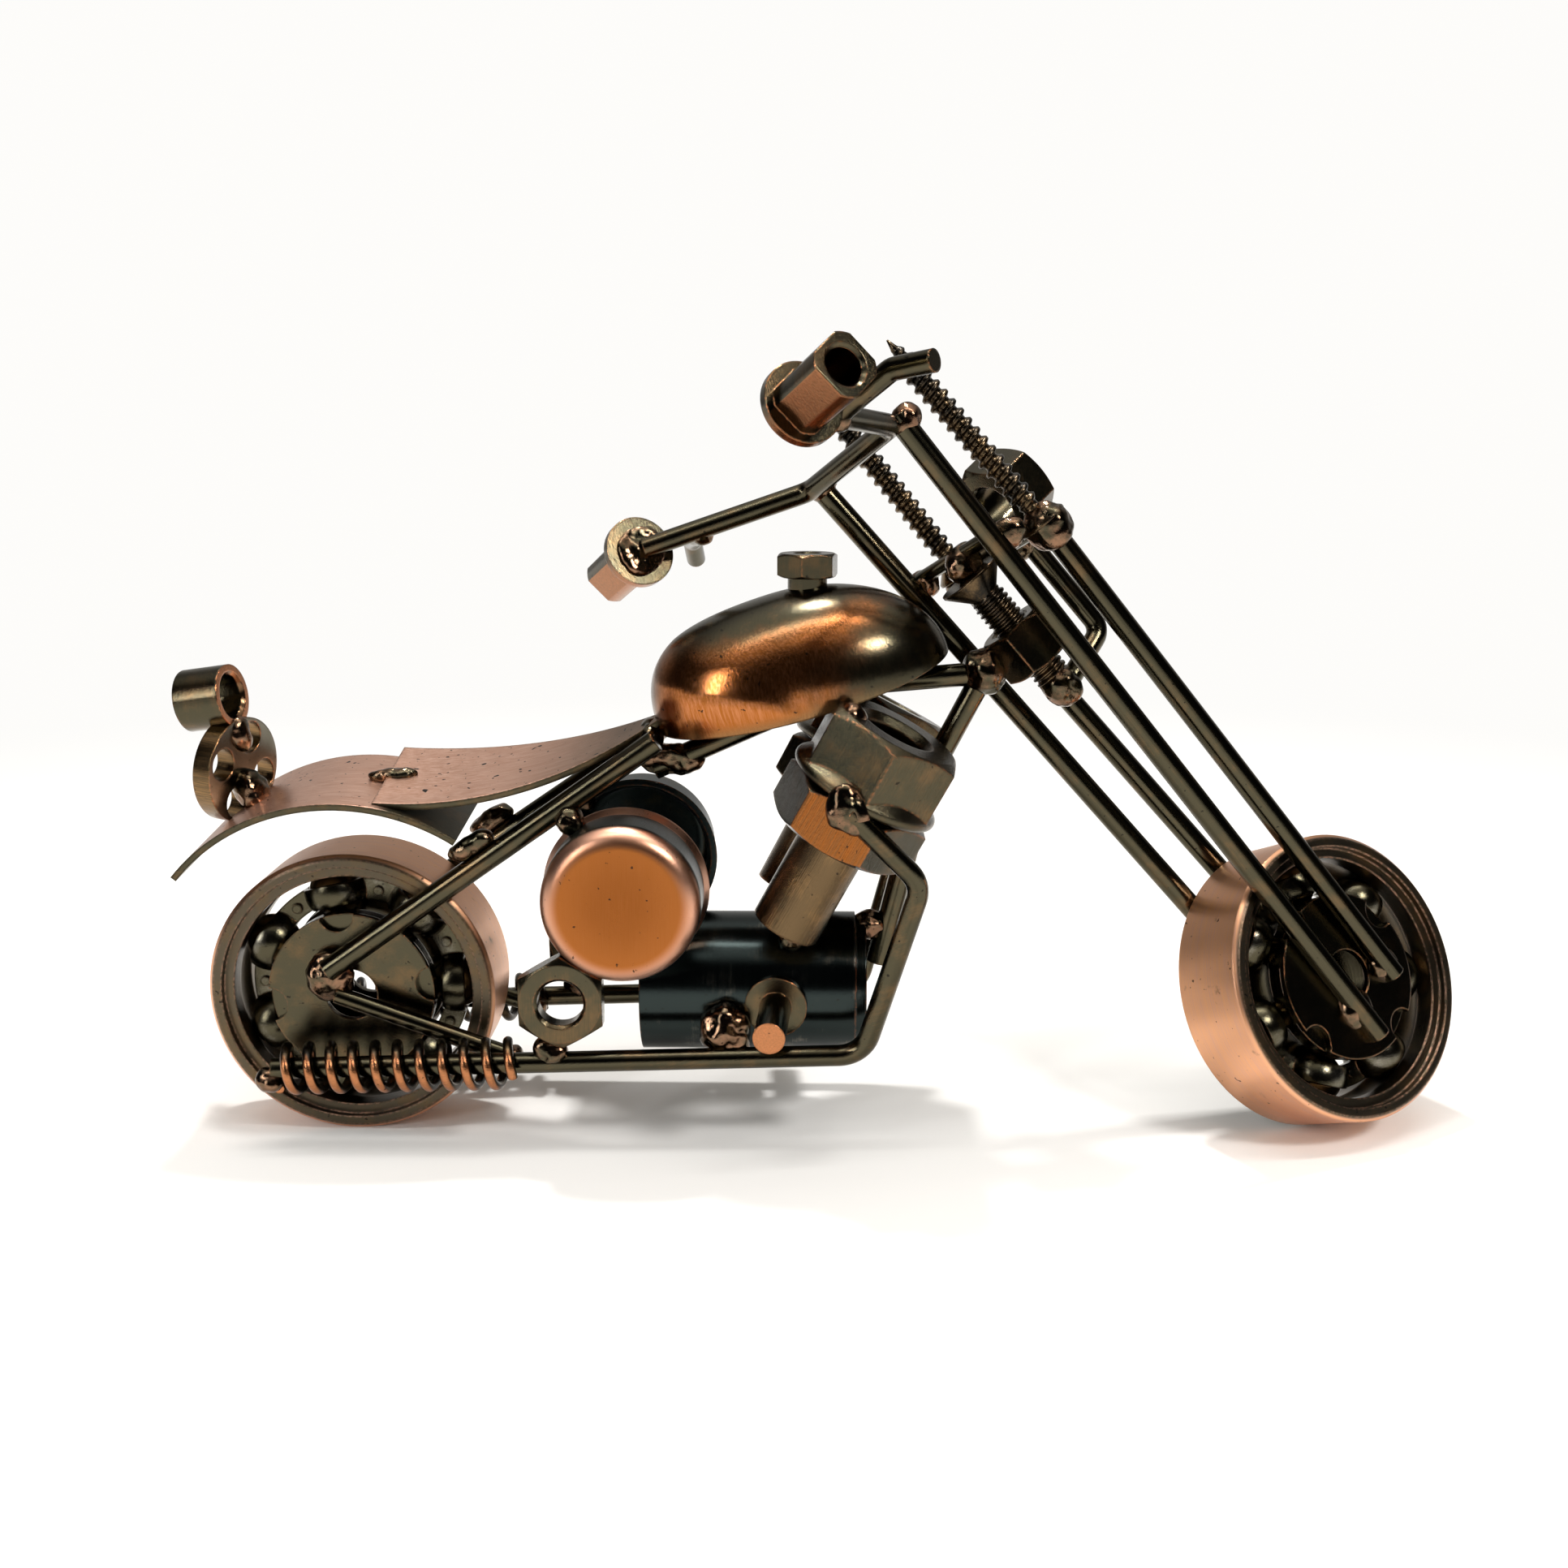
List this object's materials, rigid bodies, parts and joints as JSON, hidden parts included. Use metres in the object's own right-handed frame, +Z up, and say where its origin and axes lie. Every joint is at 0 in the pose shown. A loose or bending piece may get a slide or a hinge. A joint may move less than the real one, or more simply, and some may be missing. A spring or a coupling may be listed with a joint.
{
  "type": "model motorcycle",
  "caption": "Desk-top model chopper welded from ball bearings, nuts, screws and plated rod, with turning bearing wheels and a raked fork that steers.",
  "frame": {"origin": "on the floor under the centre of the bounding box", "axes": "+X forward, toward the front wheel; +Y to the bike's left; +Z up"},
  "size_m": [0.1436, 0.0534, 0.0869],
  "materials": {
    "gunmetal_plate": "dark olive-brown gun-metal plating, satin with bright edges",
    "copper_plate": "copper plating, brushed, darkened toward the edges",
    "weld_metal": "plated weld bead, lumpy and glossy",
    "bearing_steel": "polished ball steel under dark plating",
    "blued_steel": "dark blue-green plated tube, scratched"
  },
  "bodies": {
    "frame": {"backbone_rod": "gunmetal_plate", "chain_stay_left": "gunmetal_plate", "chain_stay_right": "gunmetal_plate", "crankcase": "blued_steel", "down_tube": "gunmetal_plate", "drum_cap_left": "copper_plate", "drum_cap_right": "copper_plate", "engine_cylinder_left": "gunmetal_plate", "engine_cylinder_right": "gunmetal_plate", "engine_nut_left": "gunmetal_plate", "engine_nut_right": "gunmetal_plate", "exhaust_pipe_left": "gunmetal_plate", "exhaust_pipe_right": "gunmetal_plate", "flange_nut_left": "gunmetal_plate", "flange_nut_right": "gunmetal_plate", "foot_peg_left": "gunmetal_plate", "foot_peg_right": "gunmetal_plate", "frame_welds": "weld_metal", "fuel_cap_nut": "gunmetal_plate", "headstock_nut": "gunmetal_plate", "muffler_spring_left": "copper_plate", "muffler_spring_right": "copper_plate", "rear_fender": "copper_plate", "rear_hub_disc_left": "gunmetal_plate", "rear_hub_disc_right": "gunmetal_plate", "rear_inner_ring": "gunmetal_plate", "seat_plate": "copper_plate", "seat_stay_left": "gunmetal_plate", "seat_stay_right": "gunmetal_plate", "side_nut_left": "gunmetal_plate", "side_nut_right": "gunmetal_plate", "tail_disc": "copper_plate", "tail_sleeve": "gunmetal_plate", "tank_shell": "copper_plate"},
    "fork": {"clamp_bar_front": "gunmetal_plate", "clamp_bar_rear": "gunmetal_plate", "fork_rod_front_left": "gunmetal_plate", "fork_rod_front_right": "gunmetal_plate", "fork_rod_rear_left": "gunmetal_plate", "fork_rod_rear_right": "gunmetal_plate", "fork_screw_left": "gunmetal_plate", "fork_screw_right": "gunmetal_plate", "fork_welds": "weld_metal", "front_hub_disc_left": "gunmetal_plate", "front_hub_disc_right": "gunmetal_plate", "front_inner_ring": "gunmetal_plate", "grip_left": "gunmetal_plate", "grip_right": "gunmetal_plate", "handlebar": "gunmetal_plate", "headlight_nut": "gunmetal_plate", "lever_left": "gunmetal_plate", "lever_right": "gunmetal_plate", "steering_bolt": "gunmetal_plate", "steering_bracket": "gunmetal_plate"},
    "front_cage": {"front_ball_cage": "gunmetal_plate", "front_balls": "bearing_steel"},
    "front_wheel": {"front_outer_ring": "copper_plate"},
    "rear_cage": {"rear_ball_cage": "gunmetal_plate", "rear_balls": "bearing_steel"},
    "rear_wheel": {"rear_outer_ring": "copper_plate"}
  },
  "joints": [
    {"name": "steering", "type": "hinge", "parent": "frame", "child": "fork", "pos_m": [0.022, 0.00807, 0.054], "axis": [-0.6555, 0, 0.7552], "range_deg": [-76, 4]},
    {"name": "front_wheel_spin", "type": "hinge", "parent": "fork", "child": "front_wheel", "pos_m": [0.05552, 0.0086, 0.01649], "axis": [-0.4481, 0.8049, -0.389], "continuous": true},
    {"name": "front_cage_spin", "type": "hinge", "parent": "fork", "child": "front_cage", "pos_m": [0.05552, 0.0086, 0.01649], "axis": [-0.4481, 0.8049, -0.389], "continuous": true},
    {"name": "rear_wheel_spin", "type": "hinge", "parent": "frame", "child": "rear_wheel", "pos_m": [-0.0533, 0.00807, 0.016], "axis": [0, 1, 0], "continuous": true},
    {"name": "rear_cage_spin", "type": "hinge", "parent": "frame", "child": "rear_cage", "pos_m": [-0.0533, 0.00807, 0.016], "axis": [0, 1, 0], "continuous": true}
  ],
  "couplings": [
    {"joint": "front_cage_spin", "follows": "front_wheel_spin", "ratio": 0.6353},
    {"joint": "rear_cage_spin", "follows": "rear_wheel_spin", "ratio": 0.6353}
  ]
}
